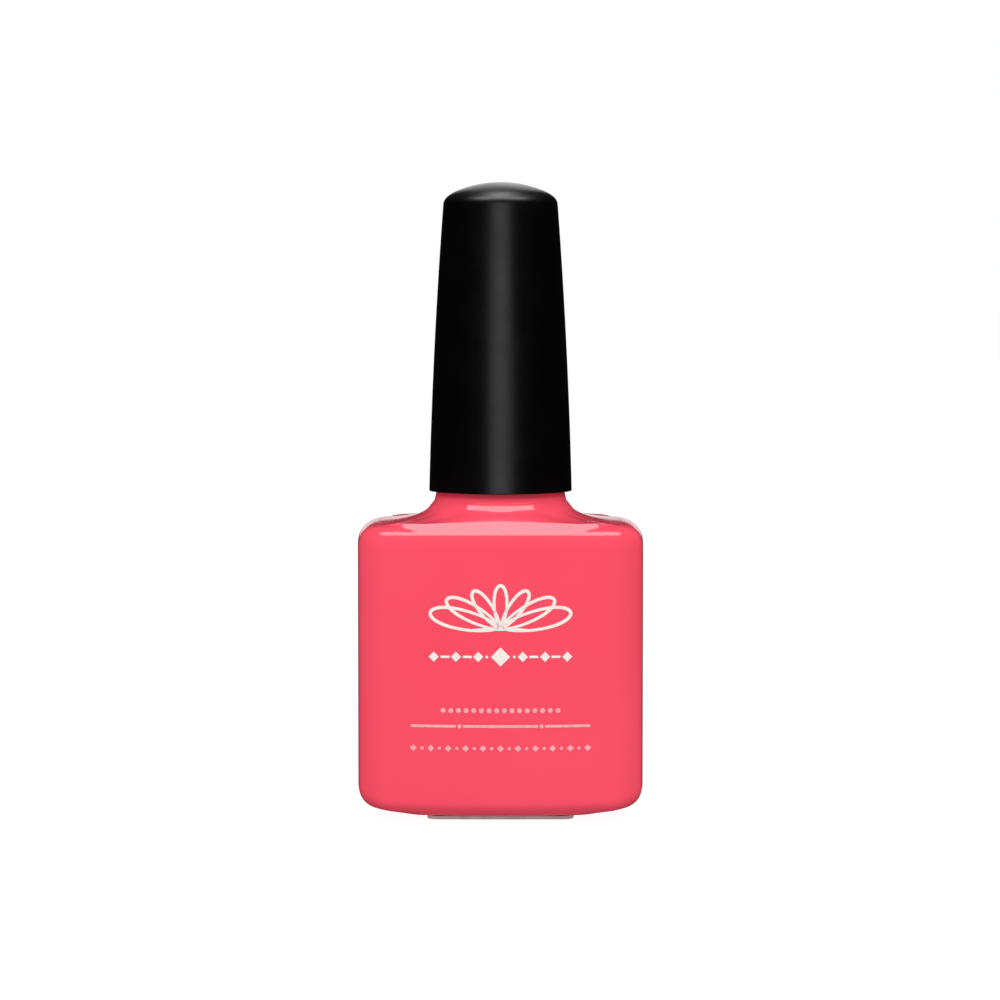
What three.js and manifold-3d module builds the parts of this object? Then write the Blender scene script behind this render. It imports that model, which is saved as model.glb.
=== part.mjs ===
import * as THREE from 'three';
import { mergeVertices } from 'three/addons/utils/BufferGeometryUtils.js';
import Module from 'manifold-3d';

const { lerp, smoothstep } = THREE.MathUtils;
const wasm = await Module();
wasm.setup();

// Nail polish bottle: coated heavy glass, tapered overcap, threaded inner cap with the brush.
// Millimetres. X is the width, the front faces -Y, Z is up, the foot stands on Z = 0.

// Glass body, plan outline
const BODY_HALF_W = 17.05;
const BODY_HALF_D = 12.0;
const FRONT_CURVE_R = 66;
const SIDE_CURVE_R = 90;
const BODY_CORNER_R = 4.2;

// Glass body, heights and edge roundings
const FOOT_HALF_W = 8.75;
const FOOT_HALF_D = 9.3;
const FOOT_CURVE_R = 300;
const FOOT_CORNER_R = 1.2;
const FOOT_H = 0.45;
const PUSH_UP_R = 6.3;
const PUSH_UP_H = 0.5;
const HEEL_IN = 3.1;
const HEEL_UP_FRONT = 1.9;
const HEEL_UP_SIDE = 3.2;
const CORNER_LIFT = 0.2;
const CORNER_LIFT_FROM = 13.0;
const SHOULDER_Z = 31.93;
const SHOULDER_IN = 3.48;
const SHOULDER_UP = 3.0;
const SHOULDER_FALL = 0.03;
const SHOULDER_FALL_FROM = 10;
const SHOULDER_SQUARE = 0.8;
const SHOULDER_SWEEP = THREE.MathUtils.degToRad(78);
const SHOULDER_SWEEP_FRONT = THREE.MathUtils.degToRad(40);
const SLOPE = 1.1;
const SLOPE_IN_MIDDLE = 1.15;
const SLOPE_IN_END = 0.8;

// Neck
const NECK_FOOT_R = 8.5;
const NECK_FOOT_Z = 36.42;
const NECK_ROOT_R = 5.65;
const NECK_CREST_R = 6.35;
const RIM_Z = 49.0;
const BORE_R = 3.8;

// Cavity
const CAVITY_HALF_W = 13.2;
const CAVITY_HALF_D = 8.4;
const CAVITY_FRONT_R = 62;
const CAVITY_SIDE_R = 80;
const CAVITY_CORNER_R = 3.4;
const CAVITY_FLOOR_Z = 6.2;
const CAVITY_HEEL_IN = 2.6;
const CAVITY_HEEL_UP = 3.0;
const CAVITY_SHOULDER_Z = 28.4;
const CAVITY_SHOULDER_IN = 3.1;
const CAVITY_SHOULDER_UP = 3.2;
const CAVITY_THROAT_Z = 36.6;

// Screw thread, one start, right hand
const PITCH = 25.4 / 12;
const THREAD_Z = 43.65;
const GLASS_THREAD_TURNS = [0, 1.25];
const CAP_THREAD_TURNS = [0.63, 1.63];
const THREAD_FADE_TURNS = 0.07;

// Overcap
const CAP_RIM_Z = 38.27;
const CAP_RIM_R = 8.54;
const CAP_EDGE_Z = 73.1;
const CAP_TAPER = 0.86;
const CAP_BULGE = 0.9;
const CAP_TOP_Z = 75.0;
const DOME_R = 13.6;
const DOME_EDGE_R = 5.63;
const OVERCAP_RIBS = 6;
const RIB_THICK = 0.9;
const RIB_INNER_R = 4.9;
const RIB_Z = [53.2, 71.0];

// Inner cap
const INNER_CAP_Z = 39.2;
const INNER_CAP_R = 7.32;
const INNER_CAP_BORE_R = 6.6;
const INNER_CAP_CREST_R = 5.95;
const CROWN_R = 6.0;
const CROWN_TOP_Z = 56.0;
const CROWN_SLOT_Z = 52.9;
const CROWN_SLOT_W = 1.5;
const CROWN_SLOT_R = 4.6;

// Brush and seal
const FLANGE_R = 5.3;
const FLANGE_Z = 50.15;
const FLANGE_H = 1.0;
const STUB_R = 2.2;
const STUB_TOP_Z = 54.5;
const PLUG_R = 3.4;
const ROD_R = 1.75;
const ROD_END_Z = 20.0;
const SOCKET_R = 1.35;
const SOCKET_TOP_Z = 24.0;
const BRISTLE_ROOT_R = 1.05;
const BRISTLE_TIP_Z = 8.0;
const BRISTLE_FLATTEN = 0.8;
const STAPLE_Z = [22.1, 23.4];
const STAPLE_THICK = 0.3;

// Polish
const POLISH_LEVEL_Z = 26.0;
const POLISH_GAP = 0.3;
const WELL_R = 2.4;
const WELL_Z = 7.4;

const ROUND_SEGMENTS = 64;
const SMALL_SEGMENTS = 32;

// ---------- helpers ----------

function signedVolume(position, index) {
  const a = new THREE.Vector3();
  const b = new THREE.Vector3();
  const c = new THREE.Vector3();
  let total = 0;
  for (let i = 0; i < index.length; i += 3) {
    a.fromArray(position, index[i] * 3);
    b.fromArray(position, index[i + 1] * 3);
    c.fromArray(position, index[i + 2] * 3);
    total += a.dot(b.cross(c)) / 6;
  }
  return total;
}

// Solid of a closed three.js geometry, once its doubled vertices and flat triangles are gone.
function solidOf(geometry) {
  const bare = geometry.clone();
  bare.deleteAttribute('normal');
  bare.deleteAttribute('uv');
  const merged = mergeVertices(bare, 1e-4);
  const corners = merged.index.array;
  const index = [];
  for (let i = 0; i < corners.length; i += 3) {
    const [a, b, c] = corners.slice(i, i + 3);
    if (a !== b && b !== c && c !== a) {
      index.push(a, b, c);
    }
  }
  const position = merged.attributes.position.array;
  const order = signedVolume(position, index) < 0 ? index.reverse() : index;
  return new wasm.Manifold(new wasm.Mesh({
    numProp: 3,
    vertProperties: new Float32Array(position),
    triVerts: new Uint32Array(order),
  }));
}

// Skin over a pile of rings with equal point counts, closed by a fan at each end.
function loft(rings, startPoint, endPoint) {
  const count = rings[0].length;
  const position = [startPoint, ...rings.flat(), endPoint].flat();
  const index = [];
  const last = position.length / 3 - 1;
  const at = (row, column) => 1 + row * count + (column % count);
  for (let j = 0; j < count; j += 1) {
    index.push(0, at(0, j + 1), at(0, j));
    index.push(last, at(rings.length - 1, j), at(rings.length - 1, j + 1));
    for (let i = 0; i + 1 < rings.length; i += 1) {
      index.push(at(i, j), at(i, j + 1), at(i + 1, j + 1));
      index.push(at(i, j), at(i + 1, j + 1), at(i + 1, j));
    }
  }
  const geometry = new THREE.BufferGeometry();
  geometry.setAttribute('position', new THREE.Float32BufferAttribute(position, 3));
  geometry.setIndex(index);
  return solidOf(geometry);
}

// Solid of revolution; the profile starts and ends on the axis.
function spin(profile, segments = ROUND_SEGMENTS) {
  const points = profile.map(([radius, z]) => new THREE.Vector2(radius, z));
  return solidOf(new THREE.LatheGeometry(points, segments).rotateX(Math.PI / 2));
}

function disc(radius, z0, z1, segments = ROUND_SEGMENTS) {
  const geometry = new THREE.CylinderGeometry(radius, radius, z1 - z0, segments);
  return solidOf(geometry.rotateX(Math.PI / 2).translate(0, 0, (z0 + z1) / 2));
}

function box(x0, x1, y0, y1, z0, z1) {
  const geometry = new THREE.BoxGeometry(x1 - x0, y1 - y0, z1 - z0);
  return solidOf(geometry.translate((x0 + x1) / 2, (y0 + y1) / 2, (z0 + z1) / 2));
}

// Rounded rectangle with bowed faces, walked by the direction of its normal.
function bowedOutline(halfW, halfD, frontR, sideR, cornerR, inset, z) {
  const sideX = halfW - sideR;
  const frontY = halfD - frontR;
  const sideReach = sideR - cornerR;
  const frontReach = frontR - cornerR;
  const apart = Math.hypot(sideX, frontY);
  const along = (sideReach ** 2 - frontReach ** 2 + apart ** 2) / (2 * apart);
  const across = Math.sqrt(sideReach ** 2 - along ** 2);
  const ux = -sideX / apart;
  const uy = frontY / apart;
  const cornerX = sideX + ux * along - uy * across;
  const cornerY = uy * along + ux * across;
  const sideEnd = Math.atan2(cornerY, cornerX - sideX);
  const frontEnd = Math.atan2(cornerY - frontY, cornerX);
  const quarter = [];
  const arc = (cx, cy, radius, from, to, steps) => {
    for (let i = 0; i < steps; i += 1) {
      const angle = from + ((to - from) * i) / steps;
      const reach = radius - inset;
      quarter.push([cx + reach * Math.cos(angle), cy + reach * Math.sin(angle)]);
    }
  };
  arc(sideX, 0, sideR, 0, sideEnd, 3);
  arc(cornerX, cornerY, cornerR, sideEnd, frontEnd, 5);
  arc(0, frontY, frontR, frontEnd, Math.PI / 2, 5);
  const top = [0, halfD - inset];
  const half = [...quarter, top, ...quarter.slice(1).reverse().map(([x, y]) => [-x, y])];
  const full = [...half, ...half.map(([x, y]) => [-x, -y])];
  return full.map(([x, y]) => [x, y, z]);
}

// Ring part of the way from an outline to a circle, point by point in the same direction.
function towardsCircle(ring, radius, share, z) {
  return ring.map(([x, y]) => {
    const length = Math.hypot(x, y);
    const scale = 1 - share + (share * radius) / length;
    return [x * scale, y * scale, z];
  });
}

function steps(count, make) {
  return Array.from({ length: count + 1 }, (_, i) => make(i / count));
}

// Screw ridge wound on the neck (outward) or in the cap (inward), faded at both ends.
function ridge(rootR, crestR, z, turns, rootHalf, crestHalf) {
  const outward = Math.sign(crestR - rootR);
  const buried = rootR - outward * 0.25;
  const count = Math.ceil((turns[1] - turns[0]) * 36);
  const rings = steps(count, (t) => {
    const turn = turns[0] + (turns[1] - turns[0]) * t;
    const end = Math.min(turn - turns[0], turns[1] - turn) / THREAD_FADE_TURNS;
    const fade = smoothstep(end, 0, 1);
    const crest = lerp(rootR - outward * 0.1, crestR, fade);
    const angle = turn * Math.PI * 2;
    const middle = z + PITCH * turn;
    const point = (radius, dz) => [radius * Math.cos(angle), radius * Math.sin(angle), middle + dz];
    return [
      point(buried, -rootHalf),
      point(crest, -crestHalf),
      point(crest, crestHalf),
      point(buried, rootHalf),
    ];
  });
  const centre = (ring) => [0, 1, 2].map((k) => ring.reduce((sum, p) => sum + p[k], 0) / ring.length);
  return loft(rings, centre(rings[0]), centre(rings[rings.length - 1]));
}

function finish(name, solid, material) {
  const mesh = solid.getMesh();
  let geometry = new THREE.BufferGeometry();
  geometry.setAttribute('position', new THREE.BufferAttribute(new Float32Array(mesh.vertProperties), 3));
  geometry.setIndex(new THREE.BufferAttribute(new Uint32Array(mesh.triVerts), 1));
  geometry = mergeVertices(geometry, 1e-3);
  geometry.computeVertexNormals();
  const node = new THREE.Mesh(geometry, material);
  node.name = name;
  return node;
}

// ---------- glass bottle ----------

function bodyRing(inset, z) {
  return bowedOutline(BODY_HALF_W, BODY_HALF_D, FRONT_CURVE_R, SIDE_CURVE_R, BODY_CORNER_R, inset, z);
}

function cavityRing(inset, z) {
  return bowedOutline(CAVITY_HALF_W, CAVITY_HALF_D, CAVITY_FRONT_R, CAVITY_SIDE_R,
    CAVITY_CORNER_R, inset, z);
}

function footRing(inset, z) {
  return bowedOutline(FOOT_HALF_W, FOOT_HALF_D, FOOT_CURVE_R, FOOT_CURVE_R, FOOT_CORNER_R, inset, z);
}

// Points of the body's outline, each with its outward direction.
function bodyWall() {
  const inner = bodyRing(1, 0);
  return bodyRing(0, 0).map(([x, y], i) => ({ x, y, nx: x - inner[i][0], ny: y - inner[i][1] }));
}

// Rounding under the wall, lower in front and behind than round the sides.
function heelPoint({ x, y, nx, ny }, t) {
  const angle = (t * Math.PI) / 2;
  const inset = HEEL_IN * (1 - Math.sin(angle));
  const px = x - inset * nx;
  const py = y - inset * ny;
  const up = lerp(HEEL_UP_FRONT, HEEL_UP_SIDE, smoothstep(Math.abs(nx), 0.1, 0.9));
  const past = Math.max(0, Math.hypot(px, py) - CORNER_LIFT_FROM);
  return [px, py, FOOT_H + up * (1 - Math.cos(angle)) + CORNER_LIFT * past * (1 - Math.sin(angle))];
}

// Share of the full turn the shoulder takes: none in the middle of the front and back.
function turnShare({ x, nx }) {
  return Math.max(smoothstep(Math.abs(nx), 0.1, 0.85), smoothstep(Math.abs(x), 9, 15));
}

function shoulderPoint(at, t) {
  const angle = t * lerp(SHOULDER_SWEEP_FRONT, SHOULDER_SWEEP, turnShare(at));
  const inset = SHOULDER_IN * (1 - Math.cos(angle) ** SHOULDER_SQUARE);
  const x = at.x - inset * at.nx;
  const y = at.y - inset * at.ny;
  const past = Math.max(0, Math.hypot(x, y) - SHOULDER_FALL_FROM);
  const rise = Math.sin(angle);
  return [x, y, SHOULDER_Z + SHOULDER_UP * rise ** SHOULDER_SQUARE - SHOULDER_FALL * past * rise ** 4];
}

// Straight slope above the rounding in front and behind; it has no length at the corners and sides.
function slopePoint(at, t) {
  const length = lerp(SLOPE_IN_MIDDLE, SLOPE_IN_END, Math.min(1, Math.abs(at.x) / 11));
  const inset = t * length * (1 - turnShare(at));
  const [x, y, z] = shoulderPoint(at, 1);
  return [x - inset * at.nx, y - inset * at.ny, z + SLOPE * inset];
}

// Line from the slope in to the foot of the neck: short and steep in front and behind, a long and
// nearly level deck towards the sides.
function deckPoint(at, t) {
  const [x, y, z] = slopePoint(at, 1);
  const reach = Math.hypot(x, y);
  const run = reach - NECK_FOOT_R;
  const near = 1 - smoothstep(run, 1.5, 4.5);
  const lead = lerp(0.74, 0.35, near) * run;
  const line = new THREE.CubicBezierCurve(
    new THREE.Vector2(reach, z),
    new THREE.Vector2(reach - lead, z + lead * lerp(0.06, 0.62, near)),
    new THREE.Vector2(NECK_FOOT_R + lerp(0.3, 0.4, near), NECK_FOOT_Z - lerp(0.5, 0.42, near)),
    new THREE.Vector2(NECK_FOOT_R, NECK_FOOT_Z),
  );
  const point = line.getPoint(t);
  return [(x / reach) * point.x, (y / reach) * point.x, point.y];
}

function glassOutside() {
  const wall = bodyWall();
  const heel = steps(5, (t) => wall.map((at) => heelPoint(at, t)));
  const shoulder = steps(7, (t) => wall.map((at) => shoulderPoint(at, t)));
  const slope = wall.map((at) => slopePoint(at, 1));
  const deck = steps(5, (t) => wall.map((at) => deckPoint(at, t)));
  const edge = shoulder[shoulder.length - 1];
  const neckProfile = [
    [8.01, 37.11], [7.74, 37.83], [7.62, 38.35], [7.35, 38.6], [6.5, 38.7],
    [5.85, 38.95], [NECK_ROOT_R, 39.5], [NECK_ROOT_R, RIM_Z - 0.35], [NECK_ROOT_R - 0.12, RIM_Z - 0.1],
    [NECK_ROOT_R - 0.4, RIM_Z],
  ];
  const neck = neckProfile.map(([radius, z]) => towardsCircle(edge, radius, 1, z));
  return loft([...heel, ...shoulder, slope, ...deck.slice(1), ...neck], [0, 0, FOOT_H], [0, 0, RIM_Z]);
}

function cavityRings(inset, topZ) {
  const floor = steps(4, (t) => {
    const angle = (t * Math.PI) / 2;
    return cavityRing(inset + CAVITY_HEEL_IN * (1 - Math.sin(angle)),
      CAVITY_FLOOR_Z + inset + CAVITY_HEEL_UP * (1 - Math.cos(angle)));
  });
  return [...floor, cavityRing(inset, topZ)];
}

function cavity() {
  const wall = cavityRings(0, CAVITY_SHOULDER_Z);
  const shoulder = steps(4, (t) => {
    const angle = t * THREE.MathUtils.degToRad(62);
    return cavityRing(CAVITY_SHOULDER_IN * (1 - Math.cos(angle)),
      CAVITY_SHOULDER_Z + CAVITY_SHOULDER_UP * Math.sin(angle));
  });
  const edge = shoulder[shoulder.length - 1];
  const edgeZ = edge[0][2];
  const throat = steps(6, (t) => {
    const share = Math.sin((t * Math.PI) / 2);
    return towardsCircle(edge, BORE_R, share, edgeZ + (CAVITY_THROAT_Z - edgeZ) * (0.4 * t + 0.6 * t ** 3));
  });
  const bore = [
    towardsCircle(edge, BORE_R, 1, RIM_Z - 0.25),
    towardsCircle(edge, BORE_R + 0.25, 1, RIM_Z),
    towardsCircle(edge, BORE_R + 0.25, 1, RIM_Z + 1),
  ];
  return loft([...wall, ...shoulder.slice(1), ...throat.slice(1), ...bore],
    [0, 0, CAVITY_FLOOR_Z], [0, 0, RIM_Z + 1]);
}

function glassBottle() {
  const foot = loft([footRing(0.15, 0), footRing(0, 0.15), footRing(0, FOOT_H + 0.2)],
    [0, 0, 0], [0, 0, FOOT_H + 0.2]);
  const pushUp = spin([
    [0, -1], [PUSH_UP_R, -1], [PUSH_UP_R, 0], [PUSH_UP_R * 0.8, PUSH_UP_H * 0.6],
    [PUSH_UP_R * 0.45, PUSH_UP_H * 0.93], [0, PUSH_UP_H],
  ], 48);
  const thread = ridge(NECK_ROOT_R, NECK_CREST_R, THREAD_Z, GLASS_THREAD_TURNS, 0.55, 0.2);
  return glassOutside().add(foot).add(thread).subtract(pushUp).subtract(cavity());
}

// ---------- polish ----------

function polish() {
  const rings = cavityRings(POLISH_GAP, POLISH_LEVEL_Z);
  const body = loft(rings, [0, 0, CAVITY_FLOOR_Z + POLISH_GAP], [0, 0, POLISH_LEVEL_Z]);
  return body.subtract(disc(WELL_R, WELL_Z, POLISH_LEVEL_Z + 1, SMALL_SEGMENTS));
}

// ---------- caps ----------

function capRadius(z) {
  const t = (z - CAP_RIM_Z) / (CAP_EDGE_Z - CAP_RIM_Z);
  return CAP_RIM_R - CAP_TAPER * t - CAP_BULGE * t * t;
}

function domeZ(radius) {
  return CAP_TOP_Z - DOME_R + Math.sqrt(DOME_R ** 2 - radius ** 2);
}

function overcap() {
  const side = steps(8, (t) => {
    const z = CAP_RIM_Z + 0.12 + (CAP_EDGE_Z - CAP_RIM_Z - 0.12) * t;
    return [capRadius(z), z];
  });
  const from = [capRadius(CAP_EDGE_Z), CAP_EDGE_Z];
  const to = [DOME_EDGE_R, domeZ(DOME_EDGE_R)];
  const corner = [from[0] - 0.015, CAP_EDGE_Z + 0.2];
  const round = steps(5, (t) => [0, 1].map((k) => (
    from[k] * (1 - t) ** 2 + corner[k] * 2 * t * (1 - t) + to[k] * t * t)));
  const dome = steps(5, (t) => [DOME_EDGE_R * (1 - t), domeZ(DOME_EDGE_R * (1 - t))]);
  const outside = spin([
    [0, CAP_RIM_Z], [CAP_RIM_R - 0.14, CAP_RIM_Z], ...side, ...round.slice(1), ...dome.slice(1),
  ]);
  const inside = spin([
    [0, CAP_RIM_Z - 1], [7.98, CAP_RIM_Z - 1], [7.98, 38.95], [7.6, 39.1], [7.56, 47], [7.35, 52],
    [7.1, 58], [6.72, 65], [6.12, 71.9], [5.5, 72.6], [3, 73.7], [0, 74.0],
  ]);
  let shell = outside.subtract(inside);
  const rib = box(RIB_INNER_R, 8.4, -RIB_THICK / 2, RIB_THICK / 2, RIB_Z[0], RIB_Z[1]).intersect(outside);
  const trimmed = rib.intersect(spin([[0, 50], [7.6, 50], [7.4, 58], [7.0, 65], [6.4, 72], [0, 72]]));
  for (let i = 0; i < OVERCAP_RIBS; i += 1) {
    shell = shell.add(trimmed.rotate([0, 0, (360 / OVERCAP_RIBS) * i]));
  }
  return shell;
}

function innerCap() {
  const outside = spin([
    [0, INNER_CAP_Z], [INNER_CAP_R - 0.15, INNER_CAP_Z], [INNER_CAP_R, INNER_CAP_Z + 0.15],
    [INNER_CAP_R - 0.04, 47], [7.05, 51.6], [6.9, 51.95], [CROWN_R, 52.1], [CROWN_R, CROWN_TOP_Z - 0.3],
    [CROWN_R - 0.3, CROWN_TOP_Z], [0, CROWN_TOP_Z],
  ]);
  const inside = spin([
    [0, INNER_CAP_Z - 1], [INNER_CAP_BORE_R + 0.2, INNER_CAP_Z - 1], [INNER_CAP_BORE_R + 0.2, INNER_CAP_Z],
    [INNER_CAP_BORE_R, INNER_CAP_Z + 0.4], [INNER_CAP_BORE_R, 47.6], [5.9, 48.3],
    [5.9, FLANGE_Z + FLANGE_H + 0.3], [STUB_R + 0.3, FLANGE_Z + FLANGE_H + 0.3],
    [STUB_R + 0.3, STUB_TOP_Z + 0.3], [0, STUB_TOP_Z + 0.3],
  ], 48);
  const thread = ridge(INNER_CAP_BORE_R, INNER_CAP_CREST_R, THREAD_Z - PITCH / 2, CAP_THREAD_TURNS,
    0.4, 0.16);
  let cap = outside.subtract(inside).add(thread);
  const slot = box(CROWN_SLOT_R, 8, -CROWN_SLOT_W / 2, CROWN_SLOT_W / 2, CROWN_SLOT_Z, CROWN_TOP_Z + 1);
  for (let i = 0; i < OVERCAP_RIBS; i += 1) {
    cap = cap.subtract(slot.rotate([0, 0, (360 / OVERCAP_RIBS) * i]));
  }
  return cap;
}

function neckSeal() {
  const ring = spin([[0, 49.3], [5.5, 49.3], [5.5, 49.85], [0, 49.85]], 48);
  return ring.subtract(disc(3.75, 48, 51, 48));
}

// ---------- brush ----------

function brushStem() {
  const stem = spin([
    [0, ROD_END_Z], [ROD_R - 0.15, ROD_END_Z], [ROD_R, ROD_END_Z + 0.15], [ROD_R, 25], [1.6, 26.5],
    [1.6, 44.2], [PLUG_R - 0.3, 46.2], [PLUG_R, 46.9], [PLUG_R, FLANGE_Z], [FLANGE_R, FLANGE_Z],
    [FLANGE_R, FLANGE_Z + FLANGE_H], [STUB_R, FLANGE_Z + FLANGE_H], [STUB_R, STUB_TOP_Z - 0.3],
    [STUB_R - 0.3, STUB_TOP_Z], [0, STUB_TOP_Z],
  ], SMALL_SEGMENTS);
  return stem.subtract(disc(SOCKET_R, ROD_END_Z - 1, SOCKET_TOP_Z, 24));
}

function bristles() {
  const tuft = spin([
    [0, BRISTLE_TIP_Z], [0.55, BRISTLE_TIP_Z + 0.06], [0.9, BRISTLE_TIP_Z + 0.35], [1.22, 9.6],
    [1.5, 12], [1.6, 15], [1.45, 17.6], [1.15, 19.2], [BRISTLE_ROOT_R, 19.7], [BRISTLE_ROOT_R, 23.2],
    [0, 23.2],
  ], SMALL_SEGMENTS).scale([1, BRISTLE_FLATTEN, 1]);
  const gap = STAPLE_THICK / 2 + 0.25;
  return tuft.subtract(box(-2, 2, -gap, gap, STAPLE_Z[0] - 0.3, STAPLE_Z[1] + 1));
}

function staple() {
  return box(-BRISTLE_ROOT_R, BRISTLE_ROOT_R, -STAPLE_THICK / 2, STAPLE_THICK / 2, STAPLE_Z[0], STAPLE_Z[1]);
}

// ---------- assembly ----------

const paint = (color, roughness, metalness = 0) => new THREE.MeshStandardMaterial({
  color, roughness, metalness,
});

const assembly = new THREE.Group();
assembly.name = 'nail_polish_bottle';
assembly.add(
  finish('bottle_glass', glassBottle(), paint(0xff5066, 0.12)),
  finish('polish_fill', polish(), paint(0xf5485f, 0.2)),
  finish('overcap', overcap(), paint(0x323234, 0.42)),
  finish('inner_cap', innerCap(), paint(0x1e1e20, 0.55)),
  finish('neck_seal', neckSeal(), paint(0xe9e8e2, 0.6)),
  finish('brush_stem', brushStem(), paint(0x17171a, 0.35)),
  finish('brush_bristles', bristles(), paint(0xd9475c, 0.4)),
  finish('brush_staple', staple(), paint(0xb9bbbe, 0.3, 1)),
);

export default assembly;
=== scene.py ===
import math
import random

import bmesh
import bpy
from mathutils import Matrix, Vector


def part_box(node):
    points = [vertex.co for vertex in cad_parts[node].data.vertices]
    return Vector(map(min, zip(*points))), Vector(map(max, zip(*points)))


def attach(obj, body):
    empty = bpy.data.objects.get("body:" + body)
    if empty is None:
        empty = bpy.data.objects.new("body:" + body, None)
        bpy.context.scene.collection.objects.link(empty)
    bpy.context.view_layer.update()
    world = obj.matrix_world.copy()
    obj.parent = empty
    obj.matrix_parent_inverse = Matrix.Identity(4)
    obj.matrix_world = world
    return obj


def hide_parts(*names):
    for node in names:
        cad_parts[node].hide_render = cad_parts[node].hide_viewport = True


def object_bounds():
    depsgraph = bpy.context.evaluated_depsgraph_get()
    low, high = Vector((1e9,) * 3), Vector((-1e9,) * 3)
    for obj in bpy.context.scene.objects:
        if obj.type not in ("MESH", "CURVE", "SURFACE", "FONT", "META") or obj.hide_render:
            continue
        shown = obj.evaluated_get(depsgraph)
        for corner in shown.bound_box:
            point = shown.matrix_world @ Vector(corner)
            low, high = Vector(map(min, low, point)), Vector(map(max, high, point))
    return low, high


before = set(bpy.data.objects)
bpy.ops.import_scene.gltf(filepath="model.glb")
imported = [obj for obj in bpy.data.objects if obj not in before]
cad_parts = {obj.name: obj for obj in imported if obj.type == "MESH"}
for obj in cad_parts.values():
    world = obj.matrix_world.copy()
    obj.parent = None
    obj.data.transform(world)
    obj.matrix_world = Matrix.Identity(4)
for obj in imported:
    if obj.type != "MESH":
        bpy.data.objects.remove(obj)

# Nail polish bottle. Shapes are worked out in millimetres and scaled to metres when a mesh is made.
MM = 0.001
SCENE = bpy.context.scene
CAD_LOW, CAD_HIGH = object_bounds()

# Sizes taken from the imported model
GLASS_LOW, GLASS_HIGH = (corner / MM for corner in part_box("bottle_glass"))
OVERCAP_LOW, OVERCAP_HIGH = (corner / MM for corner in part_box("overcap"))
SKIN = 0.05
BODY_HALF_W = GLASS_HIGH.x
BODY_HALF_D = GLASS_HIGH.y
RIM_Z = GLASS_HIGH.z
CAP_RIM_Z = OVERCAP_LOW.z
CAP_RIM_R = OVERCAP_HIGH.x
CAP_TOP_Z = OVERCAP_HIGH.z

PITCH = 25.4 / 12
THREAD_Z = 43.65


# ---------- small maths ----------

def lerp(a, b, t):
    return a + (b - a) * t


def clamp01(t):
    return max(0.0, min(1.0, t))


def smooth(t):
    t = clamp01(t)
    return t * t * (3 - 2 * t)


def steps(count, start=0.0, end=1.0):
    return [lerp(start, end, i / count) for i in range(count + 1)]


def bezier(p0, p1, p2, p3, t):
    s = 1 - t
    return tuple(s**3 * a + 3 * s * s * t * b + 3 * s * t * t * c + t**3 * d
                 for a, b, c, d in zip(p0, p1, p2, p3))


def spline(points, per_span):
    """Smooth curve through (r, z) points, with the end points kept."""
    out = []
    padded = [points[0]] + list(points) + [points[-1]]
    for i in range(1, len(padded) - 2):
        a, b, c, d = padded[i - 1:i + 3]
        for k in range(per_span):
            t = k / per_span
            out.append(tuple(
                0.5 * (2 * q + (r - p) * t + (2 * p - 5 * q + 4 * r - s) * t * t
                       + (3 * q - p - 3 * r + s) * t**3)
                for p, q, r, s in zip(a, b, c, d)))
    out.append(tuple(points[-1]))
    return out


def rounded(profile, radius, arc=4):
    """A polyline of (r, z) corners with each inner corner rounded off."""
    out = [profile[0]]
    for before, corner, after in zip(profile, profile[1:], profile[2:]):
        a, b = Vector(before) - Vector(corner), Vector(after) - Vector(corner)
        cut = min(radius, a.length * 0.45, b.length * 0.45)
        if cut < 1e-4:
            out.append(corner)
            continue
        p, q = Vector(corner) + a.normalized() * cut, Vector(corner) + b.normalized() * cut
        for t in steps(arc):
            s = 1 - t
            point = p * (s * s) + Vector(corner) * (2 * s * t) + q * (t * t)
            out.append((point.x, point.y))
    out.append(profile[-1])
    return out


# ---------- mesh making ----------

def loft(rings, start=None, end=None):
    """Skin over rings of equal length. start and end are the closing points, or None to close the loop."""
    count = len(rings[0])
    verts = [p for ring in rings for p in ring]
    faces = []
    rows = len(rings)
    looped = start is None
    for i in range(rows if looped else rows - 1):
        a, b = i * count, ((i + 1) % rows) * count
        faces += [(a + j, a + (j + 1) % count, b + (j + 1) % count, b + j) for j in range(count)]
    if not looped:
        verts += [start, end]
        first, last = len(verts) - 2, len(verts) - 1
        top = (rows - 1) * count
        faces += [(first, (j + 1) % count, j) for j in range(count)]
        faces += [(last, top + j, top + (j + 1) % count) for j in range(count)]
    return verts, faces


def circle(radius, z, count):
    return [(radius * math.cos(2 * math.pi * i / count), radius * math.sin(2 * math.pi * i / count), z)
            for i in range(count)]


def revolve(profile, count=128):
    """Closed solid of revolution. A profile that starts on the axis ends on it, any other is a loop."""
    if profile[0][0] < 1e-6:
        rings = [circle(r, z, count) for r, z in profile[1:-1]]
        return loft(rings, (0, 0, profile[0][1]), (0, 0, profile[-1][1]))
    return loft([circle(r, z, count) for r, z in profile])


def shaped(columns, profile, radius_at):
    """Like revolve on chosen angles, where radius_at(r, z, angle, row) may change the radius."""
    rings = []
    for row, (r, z) in enumerate(profile[1:-1]):
        radii = [radius_at(r, z, angle, row) for angle in columns]
        rings.append([(radius * math.cos(a), radius * math.sin(a), z) for radius, a in zip(radii, columns)])
    return loft(rings, (0, 0, profile[0][1]), (0, 0, profile[-1][1]))


def join(parts):
    verts, faces = [], []
    for part_verts, part_faces in parts:
        base = len(verts)
        verts += part_verts
        faces += [tuple(base + i for i in face) for face in part_faces]
    return verts, faces


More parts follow.
